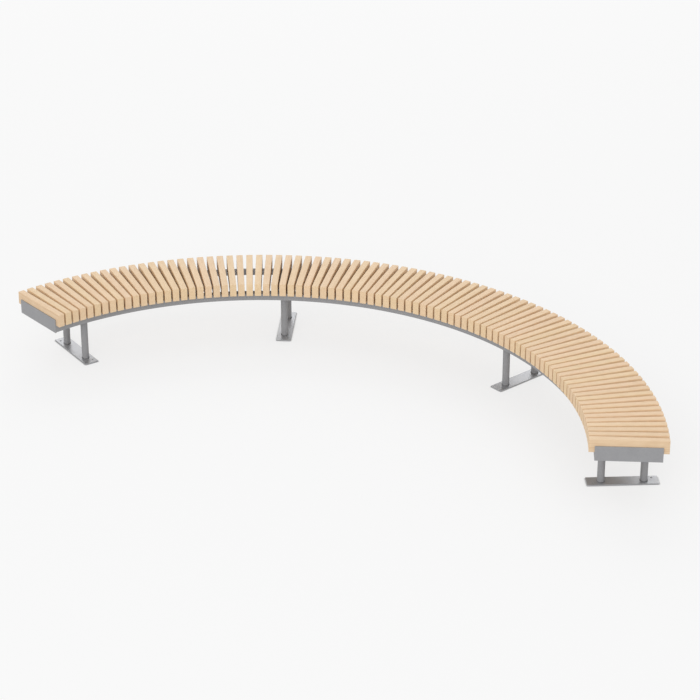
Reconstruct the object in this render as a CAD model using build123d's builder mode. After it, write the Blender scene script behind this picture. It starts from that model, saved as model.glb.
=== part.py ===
from build123d import *
from math import cos, degrees, radians, sin
import os

# Curved modular bench, in millimetres. The concave side faces -Y, the middle of the arc lies at +Y,
# the feet stand on Z = 0 and the origin is the middle of the bench's box on the ground.
# Radial timber slats are screwed down on two curved steel angle rails. Each end module is welded to
# two leg frames. The middle module has no legs of its own: its rails are bolted to the top plates of
# the two legs at the joints, and one further slat covers each joint.

# Seat and slats
seat_height = 450
seat_inner_radius = 2100
slat_length = 500
slat_depth = 90
slat_width = 45
slat_inner_gap = 12.5
slat_chamfer = 3

# Layout along the arc, in counts and in degrees
modules = ("left", "middle", "right")
slats_per_module = 28
slats_per_node = 4
slats_per_overhang = 4
middle_turn = 90

# Curved angle rails: the upright legs are the outside faces, the flanges point at each other
frame_setback = 37.5
rail_size = 50
rail_wall = 5
rail_joint_gap = 1

# End plates, which close the rails and stand against the side of the last slat
end_plate_thickness = 8
end_plate_upstand = 45
end_plate_drop = 5
end_plate_corner = 2

# Leg frames: the posts stand just between the flanges, and the base plate reaches past each post
post_diameter = 48.3
post_wall = 3.2
post_clearance = 0.85
base_plate_reach = 92.5
base_plate_width = 100
base_plate_thickness = 8
base_plate_corner = 3
anchor_hole_diameter = 12
anchor_end_distance = 40
anchor_side_distance = 25
top_plate_thickness = 8
top_plate_end_clearance = 2
top_plate_side_clearance = 3.5

# Fasteners: M10 bolts from below into the tapped rail flanges, and hexagon-head timber screws
hexagon_sides = 6
bolt_diameter = 10
bolt_hole_clearance = 0.5
bolt_head_flats = 16
bolt_head_height = 6.4
screw_head_flats = 10
screw_head_height = 4

# Counts, radii and spacings that follow
slat_count = len(modules) * slats_per_module + len(modules) - 1
pitch_turn = degrees((slat_width + slat_inner_gap) / seat_inner_radius)
seat_outer_radius = seat_inner_radius + slat_length
seat_middle_radius = seat_inner_radius + slat_length / 2
frame_width = slat_length - 2 * frame_setback
inner_rail_face = seat_inner_radius + frame_setback
outer_rail_face = seat_outer_radius - frame_setback
fixing_line = (rail_wall + rail_size) / 2
inner_fixing_radius = inner_rail_face + fixing_line
outer_fixing_radius = outer_rail_face - fixing_line
post_spacing = frame_width - 2 * (rail_size + post_clearance) - post_diameter
base_plate_length = post_spacing + 2 * base_plate_reach

# Heights that follow
rail_top = seat_height - slat_depth
rail_base = rail_top - rail_size
flange_base = rail_top - rail_wall
top_plate_base = flange_base - top_plate_thickness
post_length = top_plate_base - base_plate_thickness

# The top plate fills the width between the screws of the two neighbouring slats
screw_head_reach = screw_head_flats / 2 / cos(radians(180 / hexagon_sides))
top_plate_length = frame_width - 2 * (rail_wall + top_plate_end_clearance)
screw_pitch = inner_fixing_radius * radians(pitch_turn)
top_plate_width = 2 * (screw_pitch - screw_head_reach - top_plate_side_clearance)

# Sideways places of the joint slat's screws and of the rail bolts, from a joint leg's centre line
joint_screw_offset = slat_width / 4
bolt_offset = (joint_screw_offset + top_plate_width / 2) / 2

# The arc's centre, from the bench's nearest and furthest corners
half_sweep = radians((slat_count - 1) / 2 * pitch_turn)
middle_slat_turn = radians((slat_count + 1) % 2 * pitch_turn / 2)
slat_front = seat_inner_radius * cos(half_sweep) - slat_width / 2 * sin(half_sweep)
end_plate_side = slat_width / 2 + end_plate_thickness
end_plate_front = inner_rail_face * cos(half_sweep) - end_plate_side * sin(half_sweep)
seat_front = min(slat_front, end_plate_front)
seat_back = seat_outer_radius * cos(middle_slat_turn) + slat_width / 2 * sin(middle_slat_turn)
arc_centre = Vector(0, -(seat_front + seat_back) / 2, 0)
arc_axis = Axis(arc_centre, (0, 0, 1))

# The slats that cover a joint and the slats under which the leg frames stand, from left to right
module_stride = slats_per_module + 1
joint_slats = [module_stride * count - 1 for count in range(1, len(modules))]
leg_slats = {
    "left_end": slats_per_overhang,
    "left_joint": joint_slats[0],
    "right_joint": joint_slats[-1],
    "right_end": slat_count - 1 - slats_per_overhang,
}

# The side of each joint leg on which the middle module's rails are bolted down
bolted_sides = {"left_joint": -1, "right_joint": 1}


def slat_turn(index):
    """Direction of a slat from the arc's centre, in degrees, counted from the left end."""
    return middle_turn + ((slat_count - 1) / 2 - index) * pitch_turn


def outwards(turn):
    """Unit vector from the arc's centre in a direction."""
    return Vector(cos(radians(turn)), sin(radians(turn)), 0)


def sideways(turn):
    """Unit vector along the arc towards the left end."""
    return Vector(-sin(radians(turn)), cos(radians(turn)), 0)


def level_plane(turn, height):
    """Level plane at a height, with X outwards and Y along the arc towards the left end."""
    return Plane(arc_centre + Vector(0, 0, height), x_dir=outwards(turn), z_dir=(0, 0, 1))


def upright_plane(turn, offset=0):
    """Upright plane along the radius, moved towards the left end by an offset, with Y up."""
    origin = arc_centre + sideways(turn) * offset
    return Plane(origin, x_dir=outwards(turn), z_dir=-sideways(turn))


def bolt_places(leg_name):
    """Places of a joint leg's two rail bolts in its level plane."""
    offset = bolted_sides[leg_name] * bolt_offset
    return [(inner_fixing_radius, offset), (outer_fixing_radius, offset)]


def write(piece, name):
    """Labels a finished piece and writes its STEP file."""
    piece.part.label = name
    export_step(piece.part, f"parts/{name}.step")


# Slats

def build_slats(name, indexes):
    """Neighbouring slats, each a timber whose two upper edges are eased."""
    slat_middle = Vector(0, 0, seat_height - slat_depth / 2)
    with BuildPart() as slats:
        for index in indexes:
            turn = slat_turn(index)
            inner_end = arc_centre + outwards(turn) * seat_inner_radius + slat_middle
            with BuildSketch(Plane(inner_end, x_dir=sideways(turn), z_dir=outwards(turn))) as section:
                Rectangle(slat_width, slat_depth)
                chamfer(section.vertices().group_by(Axis.Y)[-1], slat_chamfer)
            extrude(amount=slat_length)
    write(slats, name)


# Rails

def build_rail(name, module, face_radius, flange_side):
    """One module's curved angle rail, from joint to joint or to the end plate."""
    first = joint_slats[module - 1] if module > 0 else -1
    last = joint_slats[module] if module < len(joint_slats) else slat_count
    joint_turn = degrees(rail_joint_gap / 2 / face_radius)
    root = face_radius + flange_side * rail_wall
    flange_edge = face_radius + flange_side * rail_size
    with BuildPart() as rail:
        with BuildSketch(upright_plane(slat_turn(last) + joint_turn)):
            with BuildLine():
                Polyline(
                    (face_radius, rail_base),
                    (root, rail_base),
                    (root, flange_base),
                    (flange_edge, flange_base),
                    (flange_edge, rail_top),
                    (face_radius, rail_top),
                    close=True,
                )
            make_face()
        revolve(axis=arc_axis, revolution_arc=(last - first) * pitch_turn - 2 * joint_turn)
        for leg_name in bolted_sides:
            with BuildSketch(level_plane(slat_turn(leg_slats[leg_name]), flange_base)):
                with Locations(*bolt_places(leg_name)):
                    Circle(bolt_diameter / 2)
            extrude(amount=rail_wall, mode=Mode.SUBTRACT)
        if first < 0:
            split(bisect_by=upright_plane(slat_turn(0), slat_width / 2), keep=Keep.TOP)
        if last == slat_count:
            split(bisect_by=upright_plane(slat_turn(last - 1), -slat_width / 2), keep=Keep.BOTTOM)
    write(rail, name)


# End plates

def build_end_plate(name, index, side):
    """Flat plate against the side of the last slat and the cut ends of both rails."""
    height = end_plate_upstand + rail_size + end_plate_drop
    middle = rail_top + end_plate_upstand - height / 2
    with BuildPart() as plate:
        with BuildSketch(upright_plane(slat_turn(index), side * slat_width / 2)) as outline:
            with Locations((seat_middle_radius, middle)):
                Rectangle(frame_width, height)
            chamfer(outline.vertices(), end_plate_corner)
        extrude(amount=-side * end_plate_thickness)
    write(plate, name)


# Leg frames

def build_base_plate(name, turn):
    """Foot plate with two ground-anchor holes on a diagonal."""
    along = base_plate_length / 2 - anchor_end_distance
    across = base_plate_width / 2 - anchor_side_distance
    with BuildPart() as plate:
        with BuildSketch(level_plane(turn, 0)) as outline:
            with Locations((seat_middle_radius, 0)):
                Rectangle(base_plate_length, base_plate_width)
            chamfer(outline.vertices(), base_plate_corner)
            with Locations((seat_middle_radius + along, across), (seat_middle_radius - along, -across)):
                Circle(anchor_hole_diameter / 2, mode=Mode.SUBTRACT)
        extrude(amount=base_plate_thickness)
    write(plate, name)


def build_post(name, turn, radius):
    """Round tube welded between the foot plate and the top plate."""
    with BuildPart() as post:
        with BuildSketch(level_plane(turn, base_plate_thickness)):
            with Locations((radius, 0)):
                Circle(post_diameter / 2)
                Circle(post_diameter / 2 - post_wall, mode=Mode.SUBTRACT)
        extrude(amount=post_length)
    write(post, name)


def build_top_plate(name, leg_name, turn):
    """Plate across both posts, seated under the flanges of the rails, with bolt holes at a joint."""
    with BuildPart() as plate:
        with BuildSketch(level_plane(turn, top_plate_base)):
            with Locations((seat_middle_radius, 0)):
                Rectangle(top_plate_length, top_plate_width)
            if leg_name in bolted_sides:
                with Locations(*bolt_places(leg_name)):
                    Circle(bolt_diameter / 2 + bolt_hole_clearance, mode=Mode.SUBTRACT)
        extrude(amount=top_plate_thickness)
    write(plate, name)


# Fasteners

def build_rail_bolts(name, leg_name, turn):
    """The bolts at a joint, heads under the top plate and tips flush with the rail flanges."""
    with BuildPart() as bolts:
        with BuildSketch(level_plane(turn, top_plate_base)):
            with Locations(*bolt_places(leg_name)):
                RegularPolygon(bolt_head_flats / 2, hexagon_sides, major_radius=False)
        extrude(amount=-bolt_head_height)
        with BuildSketch(level_plane(turn, top_plate_base)):
            with Locations(*bolt_places(leg_name)):
                Circle(bolt_diameter / 2)
        extrude(amount=top_plate_thickness + rail_wall)
    write(bolts, name)


def build_screws(name, places):
    """Heads of the timber screws, each under the steel that its slat is drawn down on."""
    with BuildPart() as screws:
        for turn, radius, offset, seat in places:
            with BuildSketch(level_plane(turn, seat)):
                with Locations((radius, offset)):
                    RegularPolygon(screw_head_flats / 2, hexagon_sides, major_radius=False)
            extrude(amount=-screw_head_height)
    write(screws, name)


def rail_screw_places(first_slat, radius):
    """One screw in each of a module's slats, on one rail's fixing line."""
    places = []
    for index in range(first_slat, first_slat + slats_per_module):
        seat = top_plate_base if index in leg_slats.values() else flange_base
        places.append((slat_turn(index), radius, 0, seat))
    return places


def joint_screw_places(index):
    """Two screws in each rail for a slat over a joint, one on either side of the joint."""
    radii = (inner_fixing_radius, outer_fixing_radius)
    offsets = (-joint_screw_offset, joint_screw_offset)
    turn = slat_turn(index)
    return [(turn, radius, offset, top_plate_base) for radius in radii for offset in offsets]


# The whole bench

os.makedirs("parts", exist_ok=True)

for module, side_name in enumerate(modules):
    first_slat = module * module_stride
    for first_share in range(0, slats_per_module, slats_per_node):
        last_share = min(first_share + slats_per_node, slats_per_module)
        group = first_share // slats_per_node + 1
        build_slats(f"{side_name}_slats_{group}", range(first_slat + first_share, first_slat + last_share))
    build_rail(f"{side_name}_inner_rail", module, inner_rail_face, 1)
    build_rail(f"{side_name}_outer_rail", module, outer_rail_face, -1)
    build_screws(f"{side_name}_inner_screws", rail_screw_places(first_slat, inner_fixing_radius))
    build_screws(f"{side_name}_outer_screws", rail_screw_places(first_slat, outer_fixing_radius))

for joint_name in bolted_sides:
    joint_slat = leg_slats[joint_name]
    build_slats(f"{joint_name}_slat", [joint_slat])
    build_screws(f"{joint_name}_screws", joint_screw_places(joint_slat))
    build_rail_bolts(f"{joint_name}_bolts", joint_name, slat_turn(joint_slat))

build_end_plate("left_end_plate", 0, 1)
build_end_plate("right_end_plate", slat_count - 1, -1)

for leg_name, leg_slat in leg_slats.items():
    leg_turn = slat_turn(leg_slat)
    build_base_plate(f"{leg_name}_base_plate", leg_turn)
    build_post(f"{leg_name}_inner_post", leg_turn, seat_middle_radius - post_spacing / 2)
    build_post(f"{leg_name}_outer_post", leg_turn, seat_middle_radius + post_spacing / 2)
    build_top_plate(f"{leg_name}_top_plate", leg_name, leg_turn)
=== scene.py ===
"""Looks of a curved modular bench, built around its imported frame.

Lengths are in metres and angles in radians. Every piece is modelled in a local frame, with X outwards
from the arc's centre, Y along the arc towards the left end and Z up. It is then turned to its place
along the arc, and its object stays at the origin.
"""

import logging
import math
import random
from dataclasses import dataclass, field
from enum import Enum
from typing import Callable, Iterable

import bmesh
import bpy
from mathutils import Matrix, Vector

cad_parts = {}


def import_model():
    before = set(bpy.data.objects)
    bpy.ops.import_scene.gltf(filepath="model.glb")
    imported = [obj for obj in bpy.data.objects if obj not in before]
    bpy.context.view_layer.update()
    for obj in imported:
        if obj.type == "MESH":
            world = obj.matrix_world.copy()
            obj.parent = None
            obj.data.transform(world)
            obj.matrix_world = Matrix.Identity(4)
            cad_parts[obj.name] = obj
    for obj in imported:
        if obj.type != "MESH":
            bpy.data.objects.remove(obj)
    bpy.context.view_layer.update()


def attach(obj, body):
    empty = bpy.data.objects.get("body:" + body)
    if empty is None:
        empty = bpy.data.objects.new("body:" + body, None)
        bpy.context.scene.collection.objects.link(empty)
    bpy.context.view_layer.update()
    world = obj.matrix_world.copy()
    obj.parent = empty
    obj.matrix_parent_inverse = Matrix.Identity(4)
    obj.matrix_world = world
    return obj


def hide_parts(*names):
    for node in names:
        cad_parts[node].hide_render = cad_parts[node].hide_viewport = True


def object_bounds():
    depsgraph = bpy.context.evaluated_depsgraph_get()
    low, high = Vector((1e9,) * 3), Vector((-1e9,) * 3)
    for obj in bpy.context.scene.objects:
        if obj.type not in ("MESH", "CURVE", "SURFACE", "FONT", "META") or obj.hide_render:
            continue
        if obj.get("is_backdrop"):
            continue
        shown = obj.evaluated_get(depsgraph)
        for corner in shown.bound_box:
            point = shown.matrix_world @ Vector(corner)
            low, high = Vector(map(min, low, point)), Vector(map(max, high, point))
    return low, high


LOG = logging.getLogger("bench")
BODY = "root"

# Faces that meet at less than FLAT_ANGLE look smooth, and edges sharper than BEND_ANGLE are rounded.
FLAT_ANGLE = math.radians(20)
BEND_ANGLE = math.radians(40)
ROUND_PROFILE = 0.5

# A face looks along an axis where its normal reaches FACING, and a point lies on a line within NEAR.
FACING = 0.9
NEAR = 0.0005
SAME_POINT = 1e-6
HEXAGON = 6

# Layers of coarse and fine noise, and the places of the colour sockets on Blender's mixing node.
COARSE_LAYERS = 2
FINE_LAYERS = 3
MIX_FACTOR, MIX_FIRST, MIX_SECOND, MIX_RESULT = 0, 6, 7, 2

Piece = bpy.types.Object
Material = bpy.types.Material
Socket = bpy.types.NodeSocket
Colour = tuple[float, float, float, float]
Waves = tuple[float, float, float]
WHITE: Colour = (1, 1, 1, 1)


class Side(Enum):
    """The two rails under the seat, each with the way from it to the seat's middle."""

    INNER = 1
    OUTER = -1


class Slot(Enum):
    """Material slots of the record."""

    TIMBER = "timber"
    FRAME = "frame_steel"
    LEGS = "leg_steel"
    FASTENERS = "fasteners"


class Attribute(Enum):
    """Values that a mesh carries for its material."""

    TIMBER_PLACE = "timber_place"
    TIMBER_TONE = "timber_tone"
    TIMBER_SHADE = "timber_shade"
    END_GRAIN = "end_grain"
    WORN_EDGE = "worn_edge"
    GAP_SIDE = "gap_side"


def let_go() -> None:
    """Deselects every object."""
    if bpy.context.object is not None and bpy.context.object.mode != "OBJECT":
        bpy.ops.object.mode_set(mode="OBJECT")
    bpy.ops.object.select_all(action="DESELECT")


def take_up(piece: Piece) -> None:
    """Makes a piece the active and only selected object.

    Args:
        piece: The object to select.
    """
    let_go()
    piece.select_set(True)
    bpy.context.view_layer.objects.active = piece


class Shaping:
    """Edit mode on one piece, as a context whose methods select parts of it and round edges."""

    def __init__(self, piece: Piece) -> None:
        """Remembers the mesh object to shape."""
        self.piece = piece

    def __enter__(self) -> "Shaping":
        """Enters edit mode with nothing selected.

        Returns:
            This context.
        """
        take_up(self.piece)
        bpy.ops.object.mode_set(mode="EDIT")
        bpy.ops.mesh.select_all(action="DESELECT")
        return self

    def __exit__(self, *problem: object) -> None:
        """Goes back to object mode."""
        bpy.ops.object.mode_set(mode="OBJECT")

    def _select(self, kind: str, test: Callable[..., bool]) -> int:
        """Selects the elements of one kind that pass a test.

        Args:
            kind: VERT, EDGE or FACE.
            test: Takes an element and says whether it is wanted.

        Returns:
            How many elements are selected.
        """
        bpy.ops.mesh.select_mode(type=kind)
        bpy.ops.mesh.select_all(action="DESELECT")
        shape = bmesh.from_edit_mesh(self.piece.data)
        elements = {"VERT": shape.verts, "EDGE": shape.edges, "FACE": shape.faces}[kind]
        wanted = [element for element in elements if test(element)]
        for element in wanted:
            element.select_set(True)
        shape.select_flush_mode()
        bmesh.update_edit_mesh(self.piece.data)
        return len(wanted)

    def edges(self, test: Callable[[bmesh.types.BMEdge], bool]) -> int:
        """Selects the edges that pass a test and returns their count."""
        return self._select("EDGE", test)

    def long_edges(self, axis: Vector, length: float) -> int:
        """Selects the edges that reach further than a length along an axis and returns their count."""
        return self.edges(lambda edge: abs((edge.verts[0].co - edge.verts[1].co) @ axis) > length)

    def points(self, test: Callable[[bmesh.types.BMVert], bool]) -> int:
        """Selects the points that pass a test and returns their count."""
        return self._select("VERT", test)

    def faces(self, test: Callable[[bmesh.types.BMFace], bool]) -> int:
        """Selects the faces that pass a test and returns their count."""
        return self._select("FACE", test)

    def everything(self) -> None:
        """Selects the whole piece."""
        bpy.ops.mesh.select_all(action="SELECT")

    def round(self, radius: float, segments: int) -> None:
        """Rounds the selected edges."""
        bpy.ops.mesh.bevel(offset=radius, segments=segments, profile=ROUND_PROFILE)


def add_block(name: str, size: Vector, middle: Vector) -> Piece:
    """Adds a rectangular block at its size and place.

    Args:
        name: Name of the new object.
        size: Size along X, Y and Z.
        middle: Middle of the block.

    Returns:
        The block, with its object at the origin.
    """
    let_go()
    bpy.ops.mesh.primitive_cube_add(size=1, location=middle)
    block = bpy.context.object
    block.name = name
    block.scale = size
    bpy.ops.object.transform_apply(location=True, rotation=True, scale=True)
    return block


def add_round_bar(name: str, radius: float, low: Vector, height: float, sides: int) -> Piece:
    """Adds an upright bar with flat ends.

    Args:
        name: Name of the new object.
        radius: Radius of the bar's corners.
        low: Middle of its lower end.
        height: Its length upwards.
        sides: Count of flat sides, few for a hexagon and many for a round bar.

    Returns:
        The bar, with its object at the origin.
    """
    let_go()
    middle = low + Vector((0, 0, height / 2))
    bpy.ops.mesh.primitive_cylinder_add(vertices=sides, radius=radius, depth=height, location=middle)
    bar = bpy.context.object
    bar.name = name
    bpy.ops.object.transform_apply(location=True, rotation=True, scale=True)
    return bar


def apply_modifier(piece: Piece, kind: str, **settings: object) -> None:
    """Adds a modifier to a piece and applies it.

    Args:
        piece: The piece to change.
        kind: Blender's name for the kind of modifier.
        **settings: Values of the modifier's properties.
    """
    take_up(piece)
    modifier = piece.modifiers.new(kind.lower(), kind)
    for setting, value in settings.items():
        setattr(modifier, setting, value)
    bpy.ops.object.modifier_apply(modifier=modifier.name)


def ease_edges(piece: Piece, width: float, segments: int = 2) -> None:
    """Rounds every edge of a piece that is sharper than a bend.

    Args:
        piece: The piece to change.
        width: Radius of the rounded edges.
        segments: Count of flat strips round each edge.
    """
    apply_modifier(
        piece,
        "BEVEL",
        width=width,
        segments=segments,
        limit_method="ANGLE",
        angle_limit=BEND_ANGLE,
        use_clamp_overlap=True,
    )


def write_attribute(mesh: bpy.types.Mesh, name: Attribute, domain: str, kind: str, values: list) -> None:
    """Stores one value for each point, corner or face of a mesh, for its material to read.

    Args:
        mesh: The mesh that carries the values.
        name: Name of the attribute.
        domain: POINT, CORNER or FACE.
        kind: FLOAT or FLOAT_VECTOR.
        values: One number or vector for each element.
    """
    attribute = mesh.attributes.get(name.value) or mesh.attributes.new(name.value, kind, domain)
    if kind == "FLOAT":
        attribute.data.foreach_set("value", values)
    else:
        attribute.data.foreach_set("vector", [number for vector in values for number in vector])


def mark_rounded_edges(mesh: bpy.types.Mesh, widest_strip: float = 0.004) -> None:
    """Marks the points in the middle of rounded edges, where a surface wears first; on the timber the mark
    also carries a painted highlight.

    Args:
        mesh: The mesh to mark.
        widest_strip: Width under which a face counts as part of a rounded edge.
    """
    edge_mark = [1.0] * len(mesh.vertices)
    for face in mesh.polygons:
        points = [mesh.vertices[index].co for index in face.vertices]
        longest = max((a - b).length for a, b in zip(points, points[1:] + points[:1]))
        if face.area > widest_strip * longest:
            for index in face.vertices:
                edge_mark[index] = 0.0
    write_attribute(mesh, Attribute.WORN_EDGE, "POINT", "FLOAT", edge_mark)


def copy_piece(pattern: Piece, name: str, place: Matrix) -> Piece:
    """Copies a modelled piece, with its own mesh, to its place.

    Args:
        pattern: The piece modelled once.
        name: Name of the copy.
        place: Where the copy goes.

    Returns:
        The copy, with its place in its mesh.
    """
    piece = pattern.copy()
    piece.data = pattern.data.copy()
    piece.name = name
    piece.data.name = name
    piece.data.transform(place)
    bpy.context.collection.objects.link(piece)
    return piece


def join(pieces: Iterable[Piece], name: str) -> Piece:
    """Joins identical small pieces into one object.

    Args:
        pieces: The pieces to join.
        name: Name of the joined object.

    Returns:
        The joined object.
    """
    gathered = list(pieces)
    take_up(gathered[0])
    for piece in gathered:
        piece.select_set(True)
    bpy.ops.object.join()
    gathered[0].name = name
    gathered[0].data.name = name
    return gathered[0]


def scrap(piece: Piece) -> None:
    """Deletes a pattern that has been copied."""
    bpy.data.objects.remove(piece)


def hand_over(piece: Piece, material: Material, slot: Slot, *nodes: str) -> None:
    """Dresses a finished piece and ties it to the frame.

    Args:
        piece: The finished piece.
        material: Its finish.
        slot: The record's slot that the finish stands for; not used.
        *nodes: The CAD nodes that the piece replaces.
    """
    take_up(piece)
    bpy.ops.object.shade_smooth_by_angle(angle=FLAT_ANGLE)
    piece.data.materials.clear()
    piece.data.materials.append(material)
    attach(piece, BODY)
    if nodes:
        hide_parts(*nodes)
    LOG.info("%s: %d faces, for %s", piece.name, len(piece.data.polygons), ", ".join(nodes) or "no node")


class NodeSheet:
    """A node tree that is laid out from left to right by short calls."""

    def __init__(self, tree: bpy.types.NodeTree) -> None:
        """Empties the tree that is to be filled."""
        self.tree = tree
        tree.nodes.clear()

    def add(self, kind: str, **settings: object) -> bpy.types.Node:
        """Adds a node.

        Args:
            kind: Blender's type name of the node, without its first words.
            **settings: Values of the node's properties.

        Returns:
            The new node.
        """
        node = self.tree.nodes.new("ShaderNode" + kind)
        for setting, value in settings.items():
            setattr(node, setting, value)
        return node

    def feed(self, socket: Socket, value: object) -> None:
        """Links a socket to another one, or sets its value.

        Args:
            socket: The socket that takes the value.
            value: Another socket, or a plain value.
        """
        if isinstance(value, Socket):
            self.tree.links.new(value, socket)
        else:
            socket.default_value = value

    def sums(self, operation: str, *terms: object) -> Socket:
        """Works on numbers.

        Args:
            operation: Name of the operation.
            *terms: Sockets or numbers.

        Returns:
            The result's socket.
        """
        node = self.add("Math", operation=operation)
        for socket, term in zip(node.inputs, terms):
            self.feed(socket, term)
        return node.outputs[0]

    def vectors(self, operation: str, *terms: object) -> Socket:
        """Works on vectors.

        Args:
            operation: Name of the operation.
            *terms: Sockets or vectors.

        Returns:
            The result's socket, a number for a length and otherwise a vector.
        """
        node = self.add("VectorMath", operation=operation)
        for socket, term in zip(node.inputs, terms):
            self.feed(socket, term)
        return node.outputs["Value" if operation == "LENGTH" else "Vector"]

    def attribute(self, name: Attribute) -> bpy.types.Node:
        """Adds a node that reads a value which the mesh carries."""
        return self.add("Attribute", attribute_name=name.value)

    def noise(self, place: object, scale: Waves, detail: float = COARSE_LAYERS) -> bpy.types.Node:
        """Adds noise, stretched by a scale for each axis.

        Args:
            place: Socket of the point to read the noise at.
            scale: Waves for each metre along each axis.
            detail: Count of finer layers.

        Returns:
            The noise node, with a number and a colour from 0 to 1.
        """
        node = self.add("TexNoise")
        self.feed(node.inputs["Vector"], self.vectors("MULTIPLY", place, scale))
        node.inputs["Scale"].default_value = 1
        node.inputs["Detail"].default_value = detail
        return node

    def ramp(self, factor: object, *stops: tuple[float, float]) -> Socket:
        """Maps a number to another through straight runs.

        Args:
            factor: Socket of the number.
            *stops: Values in rising order, each with its result.

        Returns:
            The result's socket.
        """
        node = self.add("ValToRGB")
        elements = node.color_ramp.elements
        halfway = 0.5
        while len(elements) < len(stops):
            elements.new(halfway)
        for element, (position, value) in zip(elements, stops):
            element.position = position
            element.color = (value, value, value, 1)
        self.feed(node.inputs["Fac"], factor)
        return node.outputs["Color"]

    def blend(self, factor: object, first: object, second: object, way: str = "MIX") -> Socket:
        """Mixes two colours.

        Args:
            factor: Share of the second colour.
            first: Socket or colour.
            second: Socket or colour.
            way: Blender's name for the way of mixing.

        Returns:
            The mixed colour's socket.
        """
        node = self.add("Mix", data_type="RGBA", blend_type=way, clamp_factor=True)
        self.feed(node.inputs[MIX_FACTOR], factor)
        self.feed(node.inputs[MIX_FIRST], first)
        self.feed(node.inputs[MIX_SECOND], second)
        return node.outputs[MIX_RESULT]

    def tint(self, share: object, colour: object, tone: object) -> Socket:
        """Multiplies a colour by a tone, as far as a share says."""
        return self.blend(share, colour, self.blend(1, colour, tone, "MULTIPLY"))

    def relief(self, height: object, strength: float, depth: float) -> Socket:
        """Adds fine relief to a surface.

        Args:
            height: Socket of the height, from 0 to 1.
            strength: Share of the relief that shows.
            depth: Its depth in metres.

        Returns:
            Socket of the surface's direction.
        """
        node = self.add("Bump")
        node.inputs["Strength"].default_value = strength
        node.inputs["Distance"].default_value = depth
        self.feed(node.inputs["Height"], height)
        return node.outputs["Normal"]

    def finish(self, shader: bpy.types.Node) -> None:
        """Links the surface shader to the material's output."""
        output = self.add("OutputMaterial")
        self.tree.links.new(shader.outputs[0], output.inputs["Surface"])


def new_material(name: str) -> tuple[Material, NodeSheet]:
    """Makes an empty material.

    Args:
        name: Name of the material.

    Returns:
        The material and the sheet for its nodes.
    """
    material = bpy.data.materials.new(name)
    material.use_nodes = True
    return material, NodeSheet(material.node_tree)


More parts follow.
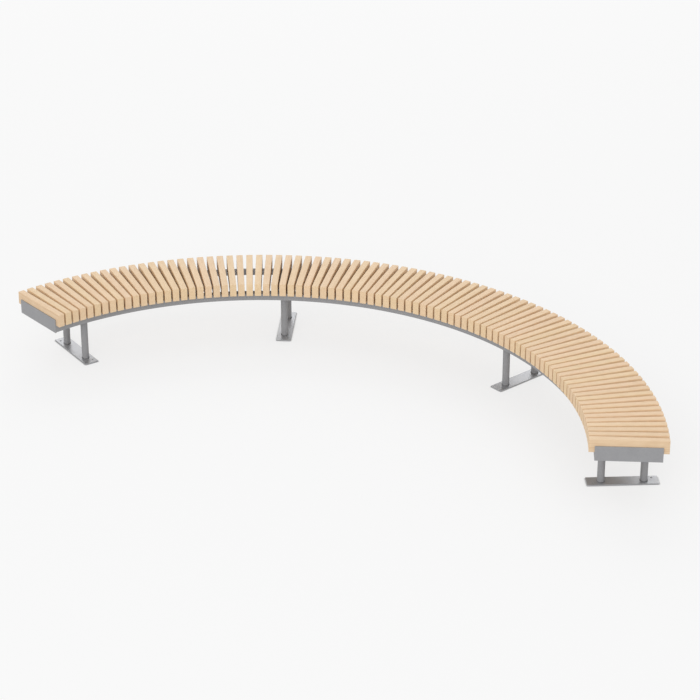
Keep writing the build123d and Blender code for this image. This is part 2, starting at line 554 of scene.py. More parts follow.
@dataclass(frozen=True)
class TimberFinish:
    """Pale planed softwood under a satin oil, with rings cut from a tree beside each slat."""

    seat_height: float
    early_wood: Colour = (0.82, 0.625, 0.42, 1)
    late_wood: Colour = (0.69, 0.475, 0.28, 1)
    yellow_tone: Colour = (1.0, 1.0, 0.95, 1)
    pink_tone: Colour = (1.0, 0.975, 0.975, 1)
    # End faces are multiplied by this tone: the end grain's own tone, brightened by painted light.
    end_grain_and_light_tone: Colour = (1.10, 1.11, 1.11, 1)
    # Rounded edges are lightened by this tone along streaks: part wear, part painted highlight.
    wear_and_highlight_tone: Colour = (1.03, 1.03, 1.03, 1)
    # The sides in the gaps between slats get painted shade, darker deeper down, with a painted highlight
    # near their top edge.
    gap_top_highlight: float = 1.08
    deep_gap_shade: float = 0.63
    shade_start_depth: float = 0.005
    shade_full_depth: float = 0.045
    shade_fade_share: float = 0.14
    ring_spacing: float = 0.0042
    ring_sway: float = 0.007
    ring_profile: tuple[tuple[float, float], ...] = ((0, 0), (0.5, 0.2), (0.82, 0.9), (0.92, 1), (1, 0))
    sway_waves: Waves = (2.5, 9, 9)
    fibre_waves: Waves = (14, 1100, 1100)
    streak_waves: Waves = (2.2, 120, 120)
    figure_waves: Waves = (16, 40, 40)
    ring_weight: float = 0.42
    fibre_weight: float = 0.35
    streak_weight: float = 0.9
    streak_middle: float = 0.42
    figure_weight: float = 0.9
    figure_middle: float = 0.45
    relief_strength: float = 0.35
    relief_depth: float = 0.0003
    roughness: float = 0.55
    roughness_spread: float = 0.2

    def material(self) -> Material:
        """Builds the finish.

        Returns:
            The timber material.
        """
        material, sheet = new_material("oiled_timber")
        place = sheet.attribute(Attribute.TIMBER_PLACE).outputs["Vector"]
        rings = self._rings(sheet, place)
        fibre = sheet.noise(place, self.fibre_waves, FINE_LAYERS).outputs["Fac"]
        streak = sheet.noise(place, self.streak_waves).outputs["Fac"]
        figure = sheet.noise(place, self.figure_waves, FINE_LAYERS).outputs["Fac"]
        fibres = sheet.sums("MULTIPLY", fibre, self.fibre_weight)
        streaks = sheet.sums("MULTIPLY_ADD", streak, self.streak_weight, -self.streak_middle)
        figures = sheet.sums("MULTIPLY_ADD", figure, self.figure_weight, -self.figure_middle)
        depth = sheet.sums("MULTIPLY_ADD", rings, self.ring_weight, fibres)
        depth = sheet.sums("ADD", sheet.sums("ADD", depth, streaks), figures)
        colour = sheet.blend(depth, self.early_wood, self.late_wood)
        tone = sheet.attribute(Attribute.TIMBER_TONE).outputs["Fac"]
        colour = sheet.blend(1, colour, sheet.blend(tone, self.yellow_tone, self.pink_tone), "MULTIPLY")
        colour = sheet.vectors("MULTIPLY", colour, sheet.attribute(Attribute.TIMBER_SHADE).outputs["Color"])
        # Painted shade on the slat sides in the gaps, with a painted highlight near their top edge.
        colour = sheet.vectors("MULTIPLY", colour, self._painted_gap_shade(sheet))
        # The end faces get their grain tone together with painted light.
        end_grain = sheet.attribute(Attribute.END_GRAIN).outputs["Fac"]
        colour = sheet.tint(end_grain, colour, self.end_grain_and_light_tone)
        # Lighter rounded edges of the timber: part wear, part painted highlight.
        edge_mark = sheet.sums("MULTIPLY", sheet.attribute(Attribute.WORN_EDGE).outputs["Fac"], streak)
        colour = sheet.tint(edge_mark, colour, self.wear_and_highlight_tone)
        smoothest = self.roughness - self.roughness_spread / 2
        rough = sheet.sums("MULTIPLY_ADD", fibre, self.roughness_spread, smoothest)
        normal = sheet.relief(sheet.sums("ADD", rings, fibre), self.relief_strength, self.relief_depth)
        shader = sheet.add("BsdfPrincipled")
        sheet.feed(shader.inputs["Base Color"], colour)
        sheet.feed(shader.inputs["Roughness"], rough)
        sheet.feed(shader.inputs["Normal"], normal)
        sheet.finish(shader)
        return material

    def _rings(self, sheet: NodeSheet, place: Socket) -> Socket:
        """Adds the growth rings about the tree's heart.

        Args:
            sheet: The node sheet.
            place: Socket of the point in the tree, with X along its trunk.

        Returns:
            Socket of the late wood's share.
        """
        noise_middle = (0.5, 0.5, 0.5)
        across_trunk = (0, 1, 1)
        sway = sheet.noise(place, self.sway_waves).outputs["Color"]
        sway = sheet.vectors("SUBTRACT", sway, noise_middle)
        sway = sheet.vectors("MULTIPLY", sway, (self.ring_sway,) * 3)
        across = sheet.vectors("MULTIPLY", sheet.vectors("ADD", place, sway), across_trunk)
        count = sheet.sums("DIVIDE", sheet.vectors("LENGTH", across), self.ring_spacing)
        return sheet.ramp(sheet.sums("FRACT", count), *self.ring_profile)

    def _painted_gap_shade(self, sheet: NodeSheet) -> Socket:
        """Paints shade on the sides that face another slat, darker the deeper they lie in the gap, with a
        painted highlight near their top edge.

        Args:
            sheet: The node sheet.

        Returns:
            Socket of the factor on the timber's colour.
        """
        axes = sheet.add("SeparateXYZ")
        sheet.feed(axes.inputs["Vector"], sheet.add("TexCoord").outputs["Object"])
        depth = sheet.sums("SUBTRACT", self.seat_height, axes.outputs["Z"])
        below_start = sheet.sums("SUBTRACT", depth, self.shade_start_depth)
        share = sheet.sums("DIVIDE", below_start, self.shade_full_depth - self.shade_start_depth)
        shade = sheet.sums("MULTIPLY", sheet.ramp(share, (0, 1), (1, self.deep_gap_shade)), self.gap_top_highlight)
        along = sheet.attribute(Attribute.GAP_SIDE).outputs["Fac"]
        return sheet.blend(sheet.ramp(along, (0, 0), (self.shade_fade_share, 1)), WHITE, shade)


@dataclass(frozen=True)
class SteelFinish:
    """Satin grey steel with a faint crystal pattern, brighter along its handled edges."""

    name: str
    dark: Colour
    light: Colour
    bare_edge: Colour = (0.52, 0.52, 0.52, 1)
    roughness: float = 0.45
    metallic: float = 0.7
    roughness_margin: float = 0.1
    sheen: float = 0.5
    crystals_per_metre: float = 120
    cloud_waves: Waves = (14, 14, 14)
    scuff_waves: Waves = (90, 90, 90)
    grain_waves: Waves = (420, 420, 420)
    cloud_weight: float = 0.6
    crystal_weight: float = 0.25
    cloud_roughness: float = 0.12
    crystal_roughness: float = 0.04
    relief_strength: float = 0.2
    relief_depth: float = 0.0001

    def material(self) -> Material:
        """Builds the finish.

        Returns:
            The steel material.
        """
        material, sheet = new_material(self.name)
        place = sheet.add("TexCoord").outputs["Object"]
        cloud = sheet.noise(place, self.cloud_waves, FINE_LAYERS).outputs["Fac"]
        crystals = sheet.add("TexVoronoi")
        crystals.inputs["Scale"].default_value = self.crystals_per_metre
        sheet.feed(crystals.inputs["Vector"], place)
        spangle = sheet.vectors("LENGTH", crystals.outputs["Color"])
        shade = sheet.sums("MULTIPLY", spangle, self.crystal_weight)
        shade = sheet.sums("MULTIPLY_ADD", cloud, self.cloud_weight, shade)
        colour = sheet.blend(shade, self.dark, self.light)
        scuff = sheet.noise(place, self.scuff_waves).outputs["Fac"]
        edge_mark = sheet.sums("MULTIPLY", sheet.attribute(Attribute.WORN_EDGE).outputs["Fac"], scuff)
        colour = sheet.blend(edge_mark, colour, self.bare_edge)
        smoothest = self.roughness - self.roughness_margin
        rough = sheet.sums("MULTIPLY_ADD", spangle, self.crystal_roughness, smoothest)
        rough = sheet.sums("MULTIPLY_ADD", cloud, self.cloud_roughness, rough)
        grain = sheet.noise(place, self.grain_waves, FINE_LAYERS).outputs["Fac"]
        shader = sheet.add("BsdfPrincipled")
        shader.inputs["Metallic"].default_value = self.metallic
        shader.inputs["Specular IOR Level"].default_value = self.sheen
        sheet.feed(shader.inputs["Base Color"], colour)
        sheet.feed(shader.inputs["Roughness"], rough)
        sheet.feed(shader.inputs["Normal"], sheet.relief(grain, self.relief_strength, self.relief_depth))
        sheet.finish(shader)
        return material


FRAME_STEEL = SteelFinish(
    name="frame_steel_satin",
    dark=(0.29, 0.29, 0.30, 1),
    light=(0.378, 0.378, 0.388, 1),
    roughness=0.6,
    metallic=0.3,
)
LEG_STEEL = SteelFinish(
    name="leg_steel_satin",
    dark=(0.335, 0.34, 0.355, 1),
    light=(0.44, 0.445, 0.46, 1),
    roughness=0.41,
    metallic=0.6,
    sheen=0.2,
)
# A darker, less metallic copy of the leg steel for the posts, which are the same steel: painted shade.
SHADED_POST_STEEL = SteelFinish(
    name="post_steel_shaded",
    dark=(0.287, 0.287, 0.296, 1),
    light=(0.372, 0.372, 0.381, 1),
    roughness=0.5,
    metallic=0.2,
    sheen=0.15,
)
WELD_SEAM = SteelFinish(
    name="weld_seam",
    dark=(0.12, 0.12, 0.125, 1),
    light=(0.22, 0.22, 0.225, 1),
    roughness=0.5,
)
ZINC = SteelFinish(
    name="zinc_plated",
    dark=(0.45, 0.45, 0.47, 1),
    light=(0.6, 0.6, 0.62, 1),
    roughness=0.3,
)


@dataclass(frozen=True)
class Plan:
    """The bench's layout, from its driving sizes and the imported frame's box."""

    arc_centre: Vector
    seat_height: float = 0.450
    inner_radius: float = 2.100
    slat_length: float = 0.500
    slat_width: float = 0.045
    slat_depth: float = 0.090
    inner_gap: float = 0.0125
    modules: tuple[str, ...] = ("left", "middle", "right")
    slats_per_module: int = 28
    slats_per_node: int = 4
    slats_per_overhang: int = 4
    frame_setback: float = 0.0375
    rail_size: float = 0.050
    rail_wall: float = 0.005
    joint_gap: float = 0.001
    plate_thickness: float = 0.008
    post_radius: float = 0.02415
    post_wall: float = 0.0032
    post_spacing: float = 0.275

    @classmethod
    def from_frame(cls) -> "Plan":
        """Finds the arc's centre from the frame's box.

        Returns:
            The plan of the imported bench.
        """
        sizes = cls(Vector((0, 0, 0)))
        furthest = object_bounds()[1].y
        half_pitch = sizes.pitch / 2
        reach = sizes.outer_radius * math.cos(half_pitch) + sizes.slat_width / 2 * math.sin(half_pitch)
        return cls(Vector((0, furthest - reach, 0)))

    @property
    def outer_radius(self) -> float:
        """Radius of the slats' outer ends."""
        return self.inner_radius + self.slat_length

    @property
    def middle_radius(self) -> float:
        """Radius of the slats' middles."""
        return self.inner_radius + self.slat_length / 2

    @property
    def slat_middle(self) -> Vector:
        """Middle of a slat in the local frame."""
        return Vector((self.middle_radius, 0, self.seat_height - self.slat_depth / 2))

    @property
    def pitch(self) -> float:
        """Angle from one slat to the next."""
        return (self.slat_width + self.inner_gap) / self.inner_radius

    @property
    def slat_count(self) -> int:
        """Count of all slats, those over the joints included."""
        return len(self.modules) * self.slats_per_module + len(self.modules) - 1

    @property
    def joint_slats(self) -> list[int]:
        """Places of the slats over the joints, counted from the left end."""
        stride = self.slats_per_module + 1
        return [stride * count - 1 for count in range(1, len(self.modules))]

    @property
    def legs(self) -> dict[str, int]:
        """The slat over each leg frame.

        Returns:
            Places from the left end, by the leg frame's name.
        """
        return {
            "left_end": self.slats_per_overhang,
            "left_joint": self.joint_slats[0],
            "right_joint": self.joint_slats[-1],
            "right_end": self.slat_count - 1 - self.slats_per_overhang,
        }

    @property
    def frame_width(self) -> float:
        """Width over both rails."""
        return self.slat_length - 2 * self.frame_setback

    @property
    def rail_top(self) -> float:
        """Height of the rails' upper faces, which carry the slats."""
        return self.seat_height - self.slat_depth

    @property
    def flange_base(self) -> float:
        """Height of the undersides of the rails' flanges."""
        return self.rail_top - self.rail_wall

    @property
    def top_plate_base(self) -> float:
        """Height of the undersides of the top plates."""
        return self.flange_base - self.plate_thickness

    @property
    def fixing_radii(self) -> tuple[float, float]:
        """Radii of the screw and bolt lines on the two rails."""
        line = self.frame_setback + (self.rail_wall + self.rail_size) / 2
        return self.inner_radius + line, self.outer_radius - line

    def turn(self, index: float) -> float:
        """Angle from the X axis to a slat, by its place from the left end, whole or between slats."""
        return math.pi / 2 + ((self.slat_count - 1) / 2 - index) * self.pitch

    def place(self, index: float) -> Matrix:
        """Where a piece modelled in the local frame goes, for a slat's place along the arc."""
        return Matrix.Translation(self.arc_centre) @ Matrix.Rotation(self.turn(index), 4, "Z")

    def slat_node(self, index: int) -> str:
        """Finds the CAD node that holds a slat.

        Args:
            index: The slat's place from the left end.

        Returns:
            Name of the node.
        """
        if index in self.joint_slats:
            return ("left_joint_slat", "right_joint_slat")[self.joint_slats.index(index)]
        module, place = divmod(index, self.slats_per_module + 1)
        return f"{self.modules[module]}_slats_{place // self.slats_per_node + 1}"


@dataclass
class SlatSeat:
    """The seat: one planed timber, modelled once and set out along the arc."""

    plan: Plan
    timber: Material
    edge_radius: float = 0.002
    edge_segments: int = 3
    end_radius: float = 0.001
    end_segments: int = 2
    heart_distance: tuple[float, float] = (0.055, 0.15)
    heart_height: float = 0.05
    trunk_length: float = 30
    shade: tuple[float, float] = (0.98, 1.02)
    seed: int = 7

    def build(self) -> None:
        """Models the slat and sets out all copies."""
        pattern = self._model_slat()
        draw = random.Random(self.seed)
        for index in range(self.plan.slat_count):
            self._set_slat(pattern, index, draw)
        scrap(pattern)

    def _model_slat(self) -> Piece:
        """Shapes a timber with rounded long edges and eased ends.

        Returns:
            The slat in the local frame.
        """
        plan = self.plan
        size = Vector((plan.slat_length, plan.slat_width, plan.slat_depth))
        slat = add_block("slat_pattern", size, plan.slat_middle)

        def is_end(edge: bmesh.types.BMEdge) -> bool:
            """Says whether an edge lies in one of the two end faces."""
            radii = (plan.inner_radius, plan.outer_radius)
            return any(all(abs(v.co.x - end) < NEAR for v in edge.verts) for end in radii)

        with Shaping(slat) as shaping:
            shaping.long_edges(Vector((1, 0, 0)), plan.slat_length / 2)
            shaping.round(self.edge_radius, self.edge_segments)
            shaping.edges(is_end)
            shaping.round(self.end_radius, self.end_segments)
        mark_rounded_edges(slat.data)
        end_faces = [float(abs(face.normal.x) > FACING) for face in slat.data.polygons]
        write_attribute(slat.data, Attribute.END_GRAIN, "FACE", "FLOAT", end_faces)
        return slat

    def _set_slat(self, pattern: Piece, index: int, draw: random.Random) -> None:
        """Puts one slat in its place, cut from its own part of the tree.

        Args:
            pattern: The modelled slat.
            index: Its place from the left end.
            draw: Source of the chances.
        """
        plan = self.plan
        heart = Vector((
            draw.uniform(0, self.trunk_length),
            draw.choice((-1, 1)) * draw.uniform(*self.heart_distance),
            draw.uniform(-self.heart_height, self.heart_height),
        ))
        tone = draw.random()
        shade = draw.uniform(*self.shade)
        middle = plan.slat_middle
        places = [vertex.co - middle + heart for vertex in pattern.data.vertices]
        slat = copy_piece(pattern, f"timber_{index + 1:02d}", plan.place(index))
        write_attribute(slat.data, Attribute.TIMBER_PLACE, "POINT", "FLOAT_VECTOR", places)
        write_attribute(slat.data, Attribute.TIMBER_TONE, "POINT", "FLOAT", [tone] * len(places))
        write_attribute(slat.data, Attribute.TIMBER_SHADE, "POINT", "FLOAT", [shade] * len(places))
        write_attribute(slat.data, Attribute.GAP_SIDE, "CORNER", "FLOAT", self._gap_marks(pattern, index))
        hand_over(slat, self.timber, Slot.TIMBER, plan.slat_node(index))

    def _gap_marks(self, pattern: Piece, index: int) -> list[float]:
        """Marks the sides that face another slat, for the painted shade in the gaps.

        Args:
            pattern: The modelled slat.
            index: The slat's place from the left end.

        Returns:
            For each corner of each face 1 at the outer end of such a side, and otherwise 0.
        """
        open_way = {0: 1, self.plan.slat_count - 1: -1}.get(index, 0)
        points = pattern.data.vertices
        marks = []
        for face in pattern.data.polygons:
            in_gap = abs(face.normal.y) > FACING > face.normal.y * open_way
            outside = [points[corner].co.x > self.plan.middle_radius for corner in face.vertices]
            marks += [float(in_gap and outer) for outer in outside]
        return marks


@dataclass
class CurvedRails:
    """Two curved steel angles under each module, upright legs outside and flanges facing."""

    plan: Plan
    steel: Material
    root_radius: float = 0.004
    root_segments: int = 4
    edge_radius: float = 0.0008
    steps_per_slat: int = 2

    def build(self) -> None:
        """Models both rails of every module."""
        for module, name in enumerate(self.plan.modules):
            for side in Side:
                self._model_rail(module, name, side)

    def _model_rail(self, module: int, name: str, side: Side) -> None:
        """Draws the angle's section, spins it along the arc and rounds its edges.

        Args:
            module: The module's place from the left end.
            name: The module's name.
            side: Which of the two rails.
        """
        plan = self.plan
        joints = [-1, *plan.joint_slats, plan.slat_count]
        first, last = joints[module], joints[module + 1]
        seat_end = plan.inner_radius if side is Side.INNER else plan.outer_radius
        face = seat_end + side.value * plan.frame_setback
        rail = self._draw_section(f"{name}_{side.name.lower()}_angle", face, side.value)
        joint_turn = plan.joint_gap / 2 / face
        sweep = (last - first) * plan.pitch - 2 * joint_turn
        with Shaping(rail) as shaping:
            shaping.everything()
            bpy.ops.mesh.spin(
                steps=self.steps_per_slat * (last - first), angle=sweep, center=(0, 0, 0), axis=(0, 0, 1)
            )
            shaping.everything()
            bpy.ops.mesh.remove_doubles(threshold=SAME_POINT)
            bpy.ops.mesh.normals_make_consistent(inside=False)
        self._round_root(rail, face + side.value * plan.rail_wall)
        rail.data.transform(plan.place(first) @ Matrix.Rotation(-joint_turn, 4, "Z"))
        self._square_ends(rail, first, last)
        ease_edges(rail, self.edge_radius)
        mark_rounded_edges(rail.data)
        hand_over(rail, self.steel, Slot.FRAME, f"{name}_{side.name.lower()}_rail")

    def _draw_section(self, name: str, face: float, inwards: int) -> Piece:
        """Draws the section of a rail from the square at its corner.

        Args:
            name: Name of the rail.
            face: Radius of its outside face.
            inwards: 1 or -1, the way from that face to the seat's middle.

        Returns:
            The flat section, in the upright plane through the arc's axis.
        """
        plan = self.plan
        reach = plan.rail_size - plan.rail_wall
        middle = (face + inwards * plan.rail_wall / 2, 0, plan.rail_top - plan.rail_wall / 2)
        let_go()
        bpy.ops.mesh.primitive_plane_add(size=plan.rail_wall, location=middle, rotation=(math.pi / 2, 0, 0))
        section = bpy.context.object
        section.name = name
        section.data.name = name
        bpy.ops.object.transform_apply(location=True, rotation=True, scale=True)
        root = face + inwards * plan.rail_wall
        with Shaping(section) as shaping:
            shaping.edges(lambda edge: all(abs(v.co.z - plan.flange_base) < NEAR for v in edge.verts))
            bpy.ops.mesh.extrude_region_move(TRANSFORM_OT_translate={"value": (0, 0, -reach)})
            shaping.edges(lambda edge: all(
                abs(v.co.x - root) < NEAR and v.co.z > plan.flange_base - NEAR for v in edge.verts
            ))
            bpy.ops.mesh.extrude_region_move(TRANSFORM_OT_translate={"value": (inwards * reach, 0, 0)})
        return section

    def _round_root(self, rail: Piece, root: float) -> None:
        """Rounds the inside corner between a rail's leg and its flange.

        Args:
            rail: The spun rail, about the arc's axis.
            root: Radius of that corner's line.
        """
        base = self.plan.flange_base

        def is_root(edge: bmesh.types.BMEdge) -> bool:
            """Says whether an edge lies along the inside corner."""
            return all(abs(v.co.xy.length - root) < NEAR and abs(v.co.z - base) < NEAR for v in edge.verts)

        with Shaping(rail) as shaping:
            shaping.edges(is_root)
            shaping.round(self.root_radius, self.root_segments)

    def _square_ends(self, rail: Piece, first: int, last: int) -> None:
        """Cuts the bench's outer rail ends flat along the sides of the last slats.

        Args:
            rail: The rail in its place.
            first: Where the rail starts, in slats.
            last: Where it ends.
        """
        plan = self.plan
        cuts = []
        if first < 0:
            cuts.append((0, 1))
        if last == plan.slat_count:
            cuts.append((last - 1, -1))
        for index, way in cuts:
            along = plan.place(index).to_3x3() @ Vector((0, way, 0))
            point = plan.arc_centre + along * plan.slat_width / 2
            with Shaping(rail) as shaping:
                shaping.everything()
                bpy.ops.mesh.bisect(plane_co=point, plane_no=along, use_fill=True, clear_outer=True)


@dataclass
class EndPlates:
    """Flat plates that close the rails at both ends of the bench."""

    plan: Plan
    steel: Material
    upstand: float = 0.045
    drop: float = 0.005
    corner: float = 0.002
    corner_segments: int = 3
    edge_radius: float = 0.0008

    def build(self) -> None:
        """Models one plate and sets out both."""
        plan = self.plan
        height = self.upstand + plan.rail_size + self.drop
        size = Vector((plan.frame_width, plan.plate_thickness, height))
        middle = Vector((plan.middle_radius, 0, plan.rail_top + self.upstand - height / 2))
        pattern = add_block("end_plate_pattern", size, middle)
        with Shaping(pattern) as shaping:
            shaping.long_edges(Vector((0, 1, 0)), plan.plate_thickness / 2)
            shaping.round(self.corner, self.corner_segments)
        ease_edges(pattern, self.edge_radius)
        mark_rounded_edges(pattern.data)
        offset = (plan.slat_width + plan.plate_thickness) / 2
        for name, index, way in (("left_end", 0, 1), ("right_end", plan.slat_count - 1, -1)):
            place = plan.place(index) @ Matrix.Translation((0, way * offset, 0))
            plate = copy_piece(pattern, f"{name}_closing_plate", place)
            hand_over(plate, self.steel, Slot.FRAME, f"{name}_plate")
        scrap(pattern)


@dataclass
class LegFrames:
    """Four leg frames: a foot plate with anchor holes, two round posts and a top plate."""

    plan: Plan
    steel: Material
    shaded_post_steel: Material
    weld: Material
    foot_length: float = 0.460
    foot_width: float = 0.100
    foot_corner: float = 0.003
    corner_segments: int = 3
    anchor_radius: float = 0.006
    anchor_sides: int = 32
    drill_overrun: float = 0.008
    anchor_end_distance: float = 0.040
    anchor_side_distance: float = 0.025
    top_plate_length: float = 0.411
    top_plate_width: float = 0.0999
    edge_radius: float = 0.0008
    bead_radius: float = 0.0025
    bead_sides: int = 10
    bead_offset: float = 0.000625
    bead_swell: float = 0.0075
    rings_per_ripple: int = 4
    round_sides: int = 64
    patterns: dict[str, Piece] = field(default_factory=dict)

    def build(self) -> None:
        """Models each kind of piece once and sets out the four frames."""
        self.patterns["foot"] = self._model_foot()
        self.patterns["top"] = self._model_top_plate()
        self.patterns["post"] = self._model_post()
        self.patterns["bead"] = self._model_bead()
        for leg, index in self.plan.legs.items():
            self._set_frame(leg, self.plan.place(index))
        for pattern in self.patterns.values():
            scrap(pattern)

    def _set(self, kind: str, name: str, place: Matrix, finish: Material, *nodes: str) -> None:
        """Puts a copy of one kind of piece in its place and hands it over."""
        hand_over(copy_piece(self.patterns[kind], name, place), finish, Slot.LEGS, *nodes)

    def _set_frame(self, leg: str, place: Matrix) -> None:
        """Puts one leg frame in its place.

        Args:
            leg: Name of the leg frame.
            place: Where the local frame goes.
        """
        plan = self.plan
        lift = Matrix.Translation((0, 0, plan.top_plate_base + plan.plate_thickness))
        flip = lift @ Matrix.Rotation(math.pi, 4, "X")
        self._set("foot", f"{leg}_foot", place, self.steel, f"{leg}_base_plate")
        self._set("top", f"{leg}_head_plate", place, self.steel, f"{leg}_top_plate")
        for name, way in (("inner", -1), ("outer", 1)):
            there = place @ Matrix.Translation((plan.middle_radius + way * plan.post_spacing / 2, 0, 0))
            self._set("post", f"{leg}_{name}_tube", there, self.shaded_post_steel, f"{leg}_{name}_post")
            self._set("bead", f"{leg}_{name}_foot_weld", there, self.weld)
            self._set("bead", f"{leg}_{name}_head_weld", there @ flip, self.weld)

    def _model_foot(self) -> Piece:
        """Shapes the foot plate and drills its two anchor holes on a diagonal.

        Returns:
            The foot plate in the local frame.
        """
        plan = self.plan
        size = Vector((self.foot_length, self.foot_width, plan.plate_thickness))
        foot = add_block("foot_pattern", size, Vector((plan.middle_radius, 0, plan.plate_thickness / 2)))
        with Shaping(foot) as shaping:
            shaping.long_edges(Vector((0, 0, 1)), plan.plate_thickness / 2)
            shaping.round(self.foot_corner, self.corner_segments)
        along = self.foot_length / 2 - self.anchor_end_distance
        across = self.foot_width / 2 - self.anchor_side_distance
        drill_length = plan.plate_thickness + 2 * self.drill_overrun
        for way in (-1, 1):
            low = Vector((plan.middle_radius + way * along, way * across, -self.drill_overrun))
            drill = add_round_bar("drill", self.anchor_radius, low, drill_length, self.anchor_sides)
            apply_modifier(foot, "BOOLEAN", operation="DIFFERENCE", object=drill, solver="EXACT")
            scrap(drill)
        ease_edges(foot, self.edge_radius)
        mark_rounded_edges(foot.data)
        return foot

    def _model_top_plate(self) -> Piece:
        """Shapes the plate across both posts.

        Returns:
            The top plate in the local frame.
        """
        plan = self.plan
        size = Vector((self.top_plate_length, self.top_plate_width, plan.plate_thickness))
        middle = Vector((plan.middle_radius, 0, plan.top_plate_base + plan.plate_thickness / 2))
        plate = add_block("top_plate_pattern", size, middle)
        ease_edges(plate, self.edge_radius)
        mark_rounded_edges(plate.data)
        return plate

    def _model_post(self) -> Piece:
        """Shapes a tube from a round bar: the ends are inset and the middle is bridged through.

        Returns:
            The post, upright about the local origin.
        """
        plan = self.plan
        height = plan.top_plate_base - plan.plate_thickness
        low = Vector((0, 0, plan.plate_thickness))
        post = add_round_bar("post_pattern", plan.post_radius, low, height, self.round_sides)
        with Shaping(post) as shaping:
            shaping.faces(lambda face: abs(face.normal.z) > FACING)
            bpy.ops.mesh.inset(thickness=plan.post_wall, depth=0)
            bpy.ops.mesh.bridge_edge_loops()
        mark_rounded_edges(post.data, widest_strip=0)
        return post

    def _model_bead(self) -> Piece:
        """Shapes the weld seam round the foot of a post, as a ring with a rippled back.

        Returns:
            The seam about the local origin.
        """
        plan = self.plan
        let_go()
        bpy.ops.mesh.primitive_torus_add(
            major_radius=plan.post_radius + self.bead_offset,
            minor_radius=self.bead_radius,
            major_segments=2 * self.round_sides,
            minor_segments=self.bead_sides,
            location=(0, 0, plan.plate_thickness + self.bead_offset),
        )
        bead = bpy.context.object
        bead.name = "bead_pattern"
        bpy.ops.object.transform_apply(location=True, rotation=True, scale=True)
        step = math.pi / self.round_sides

        def ring(point: bmesh.types.BMVert) -> int:
            """Counts the seam's rings up to a point."""
            return round(math.atan2(point.co.y, point.co.x) / step)

        crest = self.rings_per_ripple // 2
        with Shaping(bead) as shaping:
            for rings, swell in (({crest - 1, crest + 1}, self.bead_swell / 2), ({crest}, self.bead_swell)):
                shaping.points(lambda point: ring(point) % self.rings_per_ripple in rings)
                bpy.ops.transform.resize(value=(1 + swell, 1 + swell, 1), center_override=(0, 0, 0))
        mark_rounded_edges(bead.data, widest_strip=0)
        return bead


@dataclass
class Fixings:
    """Screws from below into every slat, and the bolts that hold the middle module's rails."""

    plan: Plan
    steel: Material
    screw_flats: float = 0.010
    screw_head: float = 0.004
    screw_flange: float = 0.0068
    bolt_flats: float = 0.016
    bolt_head: float = 0.0064
    bolt_radius: float = 0.005
    bolt_offset: float = 0.0306
    joint_screw_share: float = 0.25
    flange_share: float = 0.25
    flange_sides: int = 16
    shank_sides: int = 32
    chamfer: float = 0.0006

    def build(self) -> None:
        """Models a screw and a bolt once and sets out all of them."""
        screw = self._model_screw()
        for module, name in enumerate(self.plan.modules):
            first = module * (self.plan.slats_per_module + 1)
            slats = range(first, first + self.plan.slats_per_module)
            for radius, side in zip(self.plan.fixing_radii, ("inner", "outer")):
                places = [(index, radius, 0.0) for index in slats]
                self._set_group(screw, f"{name}_{side}_slat_screws", places, f"{name}_{side}_screws")
        bolt = self._model_bolt()
        for joint, way in (("left_joint", -1), ("right_joint", 1)):
            index = self.plan.legs[joint]
            radii = self.plan.fixing_radii
            aside = self.joint_screw_share * self.plan.slat_width
            places = [(index, radius, side * aside) for radius in radii for side in (-1, 1)]
            self._set_group(screw, f"{joint}_slat_screws", places, f"{joint}_screws")
            places = [(index, radius, way * self.bolt_offset) for radius in radii]
            self._set_group(bolt, f"{joint}_rail_bolts", places, f"{joint}_bolts")
        scrap(screw)
        scrap(bolt)

    def _set_group(
        self, pattern: Piece, name: str, places: list[tuple[int, float, float]], node: str
    ) -> None:
        """Puts a group of identical fasteners in place as one piece.

        Args:
            pattern: The fastener, hanging below the local origin.
            name: Name of the group.
            places: Slat, radius and sideways place of each.
            node: The CAD node that it replaces.
        """
        plan = self.plan
        copies = []
        for index, radius, offset in places:
            under_plate = index in plan.legs.values()
            seat = plan.top_plate_base if under_plate else plan.flange_base
            place = plan.place(index) @ Matrix.Translation((radius, offset, seat))
            copies.append(copy_piece(pattern, f"{name}_part", place))
        group = join(copies, name)
        hand_over(group, self.steel, Slot.FASTENERS, node)

    def _model_head(self, name: str, flats: float, height: float, flange: float) -> Piece:
        """Shapes a hexagon head over a round flange, hanging below the origin.

        Args:
            name: Name of the head.
            flats: Width across flats.
            height: Height of flange and head together.
            flange: Radius of the flange.

        Returns:
            The head.
        """
        disc_height = height * self.flange_share
        corner = flats / 2 / math.cos(math.pi / HEXAGON)
        head = add_round_bar(name, corner, Vector((0, 0, -height)), height - disc_height, HEXAGON)
        with Shaping(head) as shaping:
            shaping.faces(lambda face: face.normal.z < -FACING)
            bpy.ops.mesh.inset(thickness=self.chamfer, depth=self.chamfer / 2)
        low = Vector((0, 0, -disc_height))
        disc = add_round_bar(f"{name}_disc", flange, low, disc_height, self.flange_sides)
        return join([head, disc], name)

    def _model_screw(self) -> Piece:
        """Shapes the head of a timber screw.

        Returns:
            The screw, hanging below the local origin.
        """
        screw = self._model_head("screw_pattern", self.screw_flats, self.screw_head, self.screw_flange)
        mark_rounded_edges(screw.data, widest_strip=0)
        return screw

    def _model_bolt(self) -> Piece:
        """Shapes a bolt: its head, and its shank up through plate and flange.

        Returns:
            The bolt, with its head below the local origin.
        """
        bolt = self._model_head("bolt_pattern", self.bolt_flats, self.bolt_head, self.bolt_flats / 2)
        grip = self.plan.plate_thickness + self.plan.rail_wall
        shank = add_round_bar("bolt_shank", self.bolt_radius, Vector((0, 0, 0)), grip, self.shank_sides)
        whole = join([bolt, shank], "bolt_pattern")
        mark_rounded_edges(whole.data, widest_strip=0)
        return whole


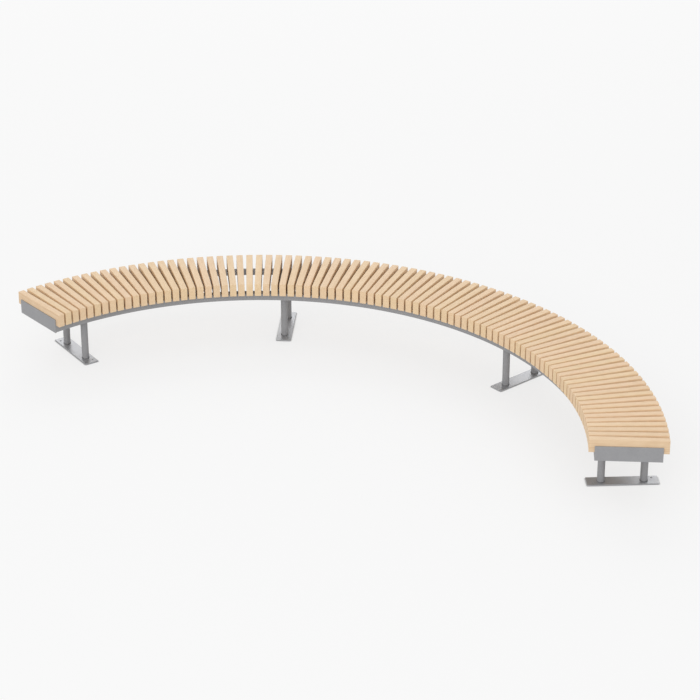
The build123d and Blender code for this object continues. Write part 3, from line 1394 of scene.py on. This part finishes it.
@dataclass(frozen=True)
class Softbox:
    """A broad soft lamp that faces the bench."""

    name: str
    turn: float
    elevation: float
    brightness: float
    distance: float = 24
    size: tuple[float, float] = (18, 12)

    def hang(self) -> None:
        """Hangs the lamp, turned from the Y axis towards the left."""
        level = Vector((-math.sin(self.turn), math.cos(self.turn), 0))
        towards = level * math.cos(self.elevation) + Vector((0, 0, math.sin(self.elevation)))
        let_go()
        bpy.ops.object.light_add(type="AREA", location=towards * self.distance)
        lamp = bpy.context.object
        lamp.name = self.name
        lamp.visible_camera = False
        lamp.rotation_euler = (-towards).to_track_quat("-Z", "Y").to_euler()
        lamp.data.shape = "RECTANGLE"
        lamp.data.size, lamp.data.size_y = self.size
        lamp.data.energy = self.brightness * math.pi * self.size[0] * self.size[1]


@dataclass(frozen=True)
class Studio:
    """Plain pale floor and backdrop, soft lamps behind and before the bench, and the camera."""

    arc_centre: Vector
    floor_colour: Colour = (0.88, 0.88, 0.88, 1)
    floor_bounce: Colour = (0.74, 0.74, 0.74, 1)
    floor_glow: Colour = (0.972, 0.972, 0.972, 1)
    backdrop: Colour = (0.945, 0.945, 0.945, 1)
    ambient: Colour = (0.735, 0.735, 0.735, 1)
    floor_size: float = 36
    sight: float = 80
    shadow_share: float = 0.29
    contact_reach: float = 0.012
    contact_samples: int = 8
    contact_power: float = 2
    lamps: tuple[Softbox, ...] = (
        Softbox("back_softbox", math.radians(29), math.radians(33), 1.9),
        Softbox("front_softbox", math.radians(187), math.radians(30), 2.5),
    )
    camera_from_centre: tuple[float, float] = (6.557, -11.618)
    camera_height: float = 7.692
    camera_turn: float = math.radians(26.776)
    camera_pitch: float = math.radians(26.692)
    focal_length: float = 125.27
    sensor: float = 36

    def build(self) -> None:
        """Lays the floor, lights the scene and sets up the camera."""
        self._lay_floor()
        self._light_world()
        for lamp in self.lamps:
            lamp.hang()
        self._set_camera()
        bpy.context.scene.view_settings.view_transform = "Standard"

    def _seen(self, sheet: NodeSheet) -> Socket:
        """Tells what the camera sees, in mirrors and through glass too, from what lights the bench.

        Args:
            sheet: The node sheet.

        Returns:
            Socket with 1 for a ray that is seen and 0 for one that only lights.
        """
        path = sheet.add("LightPath").outputs
        seen = sheet.sums("MAXIMUM", path["Is Camera Ray"], path["Is Glossy Ray"])
        return sheet.sums("MAXIMUM", seen, path["Is Transmission Ray"])

    def _lay_floor(self) -> None:
        """Lays the floor, mostly even in the camera's view but with the bench's soft shadow, and a painted
        contact shadow where its glow darkens close to the bench.
        """
        let_go()
        bpy.ops.mesh.primitive_plane_add(size=self.floor_size)
        floor = bpy.context.object
        floor.name = "floor"
        material, sheet = new_material("floor_white")
        matte = sheet.add("BsdfDiffuse")
        seen = self._seen(sheet)
        sheet.feed(matte.inputs["Color"], sheet.blend(seen, self.floor_bounce, self.floor_colour))
        even = sheet.add("Emission")
        even.inputs["Color"].default_value = self.floor_glow
        # Ambient occlusion darkens the glow close to the bench: a painted contact shadow.
        contact = sheet.add("AmbientOcclusion", samples=self.contact_samples)
        contact.inputs["Distance"].default_value = self.contact_reach
        sheet.feed(even.inputs["Strength"], sheet.sums("POWER", contact.outputs["AO"], self.contact_power))
        mix = sheet.add("MixShader")
        sheet.feed(mix.inputs[0], sheet.sums("MULTIPLY", seen, 1 - self.shadow_share))
        sheet.feed(mix.inputs[1], matte.outputs[0])
        sheet.feed(mix.inputs[2], even.outputs[0])
        sheet.finish(mix)
        floor.data.materials.append(material)
        floor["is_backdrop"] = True

    def _light_world(self) -> None:
        """Surrounds the bench with even light, and with the backdrop's colour where it is seen."""
        world = bpy.data.worlds.new("studio_world")
        bpy.context.scene.world = world
        world.use_nodes = True
        sheet = NodeSheet(world.node_tree)
        surround = sheet.add("Background")
        sheet.feed(surround.inputs["Color"], sheet.blend(self._seen(sheet), self.ambient, self.backdrop))
        output = sheet.add("OutputWorld")
        world.node_tree.links.new(surround.outputs[0], output.inputs["Surface"])

    def _set_camera(self) -> None:
        """Sets the camera at the photograph's viewing angle."""
        level = Vector((-math.sin(self.camera_turn), math.cos(self.camera_turn), 0))
        gaze = level * math.cos(self.camera_pitch) - Vector((0, 0, math.sin(self.camera_pitch)))
        let_go()
        place = self.arc_centre + Vector((*self.camera_from_centre, self.camera_height))
        bpy.ops.object.camera_add(location=place)
        camera = bpy.context.object
        camera.name = "photo_camera"
        camera.rotation_euler = gaze.to_track_quat("-Z", "Y").to_euler()
        camera.data.lens = self.focal_length
        camera.data.sensor_width = self.sensor
        camera.data.clip_end = self.sight
        bpy.context.scene.camera = camera


def main() -> None:
    """Builds the bench's pieces and its studio around the frame."""
    logging.basicConfig(level=logging.INFO, format="%(message)s")
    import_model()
    plan = Plan.from_frame()
    timber = TimberFinish(plan.seat_height).material()
    frame_steel = FRAME_STEEL.material()
    leg_steel = LEG_STEEL.material()
    shaded_post_steel = SHADED_POST_STEEL.material()
    weld = WELD_SEAM.material()
    SlatSeat(plan, timber).build()
    CurvedRails(plan, frame_steel).build()
    EndPlates(plan, frame_steel).build()
    LegFrames(plan, leg_steel, shaded_post_steel, weld).build()
    Fixings(plan, ZINC.material()).build()
    Studio(plan.arc_centre).build()


if __name__ == "__main__":
    main()
